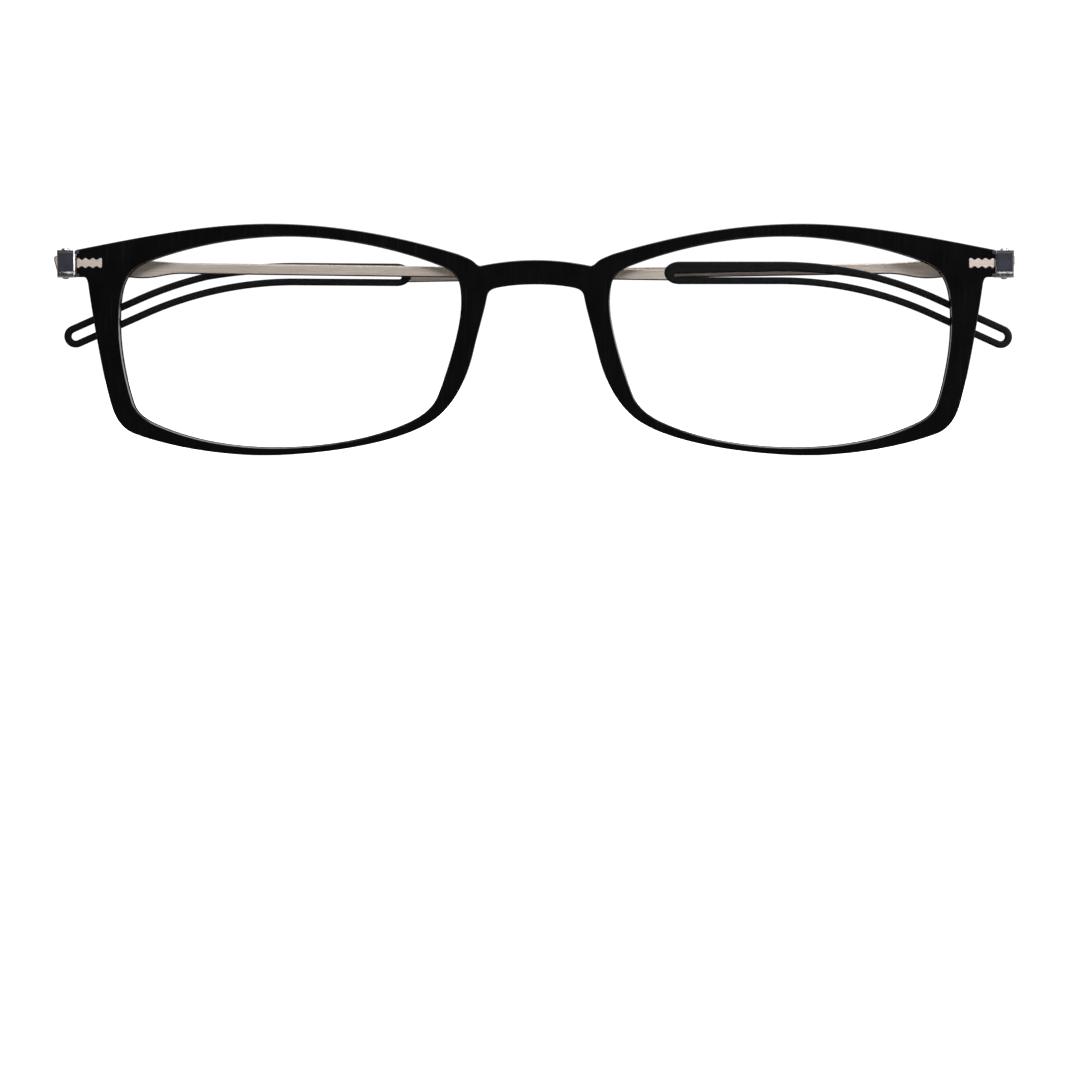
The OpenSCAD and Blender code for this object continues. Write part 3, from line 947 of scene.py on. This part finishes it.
def make_plate(side):
    """The slate plate in the block's face."""
    low, high = node_box("left_hinge_plate")
    shape = rounded_box((low.x, low.z), (high.x, high.z), 0.16)
    piece = plate("plate", [(shape, rounded(low.y, high.y, 0.09, 0.02, 4, 0.03))])
    flip(piece, side)
    settle(piece, f"{side}_slate_plate", "front", f"{side}_hinge_plate", SLATE)


def make_screw(side):
    """A domed slotted head, the shaft and the clenched end."""
    z_low, z_high = BLOCK_Z
    centre = (PIN_X, PIN_Y[side])
    head, head_rim, dome_high = 0.65, 0.03, 0.35
    foot, foot_rim, foot_high = 0.5, 0.02, 0.23
    slot_half, slot_floor = 0.08, 0.22
    turns = arc((0, 0), 1, 0.06, math.pi / 2, 11)
    dome = [(head * c, z_high + head_rim + dome_high * s) for c, s in turns]
    dome[-1] = (0, dome[-1][1])
    turns = arc((0, 0), 1, math.pi / 2, 0.06, 8)
    clench = [(foot * c, z_low - foot_rim - foot_high * s) for c, s in turns]
    clench[0] = (0, clench[0][1])
    shaft = [(foot, z_low), (PIN_R, z_low), (PIN_R, z_high)]
    rim = [(head - head_rim, z_high), (head, z_high + head_rim)]
    screw = revolve("screw", clench + shaft + rim + dome, centre)
    slot = rectangle((centre[0] - 1, centre[1] - slot_half), (centre[0] + 1, centre[1] + slot_half))
    cut(screw, prism(slot, z_high + slot_floor, z_high + 1, flat="XY"))
    flip(screw, side)
    settle(screw, f"{side}_screw", "front", f"{side}_hinge_screw", SCREW, sharp=30)


def make_washer(side, level):
    """One of the two nylon washers between the barrel and the ears."""
    node = f"{side}_{level}_washer"
    low, high = node_box(node)
    outer, soft = 0.85, 0.03
    profile = [
        (BORE_R, low.z),
        (outer - soft, low.z),
        (outer, low.z + soft),
        (outer, high.z - soft),
        (outer - soft, high.z),
        (BORE_R, high.z),
    ]
    washer = revolve("washer", profile, (PIN_X, PIN_Y[side]))
    flip(washer, side)
    settle(washer, node + "_nylon", "front", node, NYLON, sharp=50)


def make_knuckle(side):
    """The barrel on the screw and the leaf that joins it to the strip."""
    node = f"{side}_knuckle"
    low, high = node_box(node)
    pin_y = PIN_Y[side]
    outline = [(PIN_X - BARREL_R, high.y), (PIN_X + LEAF_OUT, high.y), (PIN_X + LEAF_OUT, pin_y)]
    outline += arc((PIN_X, pin_y), BARREL_R, 0, -math.pi, 24)
    wall = rounded(low.z, high.z, 0.06, 0.06, 3, 0.02)
    loops = [(clockwise(outline), wall), (anticlockwise(pin_bore(pin_y)), wall)]
    piece = plate("knuckle", loops, flat="XY")
    flip(piece, side)
    settle(piece, f"{side}_hinge_barrel", f"{side}_temple", node, STEEL, sharp=50)


# ---- Temples ----


def make_strip(side):
    """The steel strip of a temple."""
    node = f"{side}_temple_strip"
    low, high = node_box(node)
    outline = clockwise(from_screw(strip_outline(side), side))
    piece = plate("strip", [(outline, rounded(low.y, high.y, 0.2, 0.1, 5, 0.03))])
    settle(piece, f"{side}_steel_strip", f"{side}_temple", node, CHAMPAGNE)


def make_tip(side):
    """The rubber loop over the ear."""
    node = f"{side}_temple_tip"
    low, high = node_box(node)
    wall = rounded(low.y, high.y, 0.3, 0.3, 6, 0.03)
    outline = clockwise(from_screw(fitted(loop_outline(), side), side))
    slot = anticlockwise(from_screw(fitted(slot_outline(), side), side))
    piece = plate("tip", [(outline, wall), (slot, wall)])
    settle(piece, f"{side}_rubber_loop", f"{side}_temple", node, RUBBER, sharp=50)


# ---- Assembly ----



def paint_core(side):
    """The spring core inside a loop keeps its CAD shape and gets its own material."""
    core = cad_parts[f"{side}_tip_core"]
    core.data.materials.clear()
    core.data.materials.append(CORE)


make_front()
for side in SIDES:
    make_lens(side)
    make_block(side)
    make_claws(side)
    make_tongue(side)
    make_plate(side)
    make_screw(side)
    make_washer(side, "upper")
    make_washer(side, "lower")
    make_knuckle(side)
    make_strip(side)
    make_tip(side)
    paint_core(side)


# ---- Studio, in metres and watts ----


def make_floor():
    """A flat floor just under the glasses."""
    mesh = bpy.data.meshes.new("floor")
    reach = 0.55
    corners = [(-reach, -reach, 0), (reach, -reach, 0), (reach, reach, 0), (-reach, reach, 0)]
    mesh.from_pydata(corners, [], [(0, 1, 2, 3)])
    floor = bpy.data.objects.new("floor", mesh)
    floor.location.z = -0.00005
    bpy.context.scene.collection.objects.link(floor)
    mesh.materials.append(floor_white())


def make_world():
    """White to look at. The light it gives is darker in front of the glasses, as in a studio."""
    world = bpy.data.worlds.new("studio")
    bpy.context.scene.world = world
    world.use_nodes = True
    tree = world.node_tree
    new, link = tree.nodes.new, tree.links.new
    output = tree.nodes["World Output"]
    seen = tree.nodes["Background"]
    seen.inputs["Color"].default_value = (1, 1, 1, 1)
    seen.inputs["Strength"].default_value = 1.12
    lit = new("ShaderNodeBackground")
    where = new("ShaderNodeTexCoord").outputs["Generated"]
    ahead = new("ShaderNodeVectorMath")
    ahead.operation = "DOT_PRODUCT"
    ahead.inputs[1].default_value = Vector((-0.35, -0.9, 0.1)).normalized()
    link(where, ahead.inputs[0])
    shade = new("ShaderNodeMapRange")
    shade.interpolation_type = "SMOOTHSTEP"
    for key, value in (("From Min", -0.3), ("From Max", 0.6), ("To Min", 0.8), ("To Max", 0.06)):
        shade.inputs[key].default_value = value
    link(ahead.outputs["Value"], shade.inputs["Value"])
    link(shade.outputs["Result"], lit.inputs["Strength"])
    path = new("ShaderNodeLightPath")
    mix = new("ShaderNodeMixShader")
    link(path.outputs["Is Camera Ray"], mix.inputs[0])
    link(lit.outputs[0], mix.inputs[1])
    link(seen.outputs[0], mix.inputs[2])
    link(mix.outputs[0], output.inputs["Surface"])


def make_light(name, place, target, size, power):
    """A rectangular softbox that points at a target."""
    data = bpy.data.lights.new(name, "AREA")
    data.shape = "RECTANGLE"
    data.size, data.size_y = size
    data.energy = power
    light = bpy.data.objects.new(name, data)
    bpy.context.scene.collection.objects.link(light)
    light.location = place
    aim = Vector(target) - Vector(place)
    light.rotation_euler = aim.to_track_quat("-Z", "Y").to_euler()


def make_camera():
    """Half a metre in front, a little above the middle, tilted down so that the glasses sit high."""
    data = bpy.data.cameras.new("camera")
    data.sensor_width = 36
    data.lens = 115
    data.clip_start = 0.01
    data.clip_end = 20
    camera = bpy.data.objects.new("camera", data)
    bpy.context.scene.collection.objects.link(camera)
    place = Vector((0.00065, -0.504, 0.021))
    target = Vector((0.00065, 0, -0.0125))
    camera.location = place
    camera.rotation_euler = (target - place).to_track_quat("-Z", "Y").to_euler()
    bpy.context.scene.camera = camera


make_floor()
make_world()
make_light("top_softbox", (0.05, 0.0, 0.7), (0, 0, 0), (0.6, 0.4), 7)
make_light("key_softbox", (0.08, -0.75, 0.43), (0, 0, 0.015), (0.76, 0.26), 3)
make_light("side_softbox", (0.5, -0.1, 0.12), (0, 0, 0.015), (0.4, 0.3), 2.9)
make_camera()
bpy.context.scene.view_settings.view_transform = "Standard"
